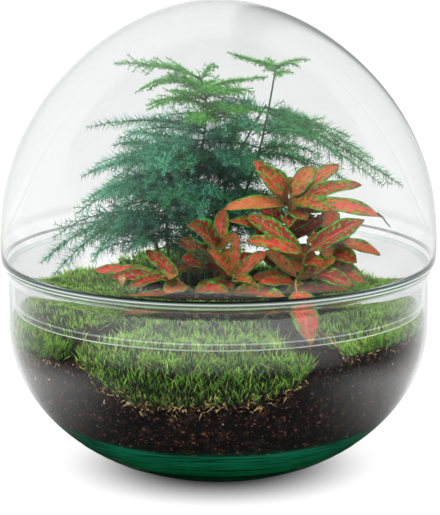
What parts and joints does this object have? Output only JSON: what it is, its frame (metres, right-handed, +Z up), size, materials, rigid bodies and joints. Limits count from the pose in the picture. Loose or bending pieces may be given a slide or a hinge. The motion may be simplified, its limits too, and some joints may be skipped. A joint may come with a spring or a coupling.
{
  "type": "glass plant terrarium",
  "caption": "Egg-shaped glass terrarium: a dome resting on a heavy-bottomed bowl, planted with moss, an asparagus fern and a red nerve plant.",
  "frame": {"origin": "centre of the bowl's foot, on the surface that the terrarium stands on", "axes": "+Z up, -Y towards the side that the picture shows, +X to that side's right"},
  "size_m": [0.28, 0.28, 0.3],
  "materials": {
    "glass": "clear polished, green in the thick base",
    "soil": "dark crumbly potting soil",
    "moss": "soft tufted moss",
    "fern": "matte green needles",
    "nerve_plant": "satin leaves, red with green margins"
  },
  "bodies": {
    "root": {"glass_bowl": "glass", "glass_dome": "glass", "soil": "soil", "moss_front": "moss", "moss_right": "moss", "moss_back_right": "moss", "moss_back": "moss", "moss_left": "moss", "nerve_plant_front": "nerve_plant", "nerve_plant_top": "nerve_plant", "nerve_plant_left_front": "nerve_plant", "nerve_plant_middle": "nerve_plant", "nerve_plant_low_left": "nerve_plant", "nerve_plant_right": "nerve_plant", "fern_cane_1": "fern", "fern_cane_2": "fern", "fern_cane_3": "fern", "fern_cane_4": "fern", "fern_cane_5": "fern", "fern_cane_6": "fern", "fern_cane_7": "fern", "fern_cane_8": "fern"}
  },
  "joints": []
}
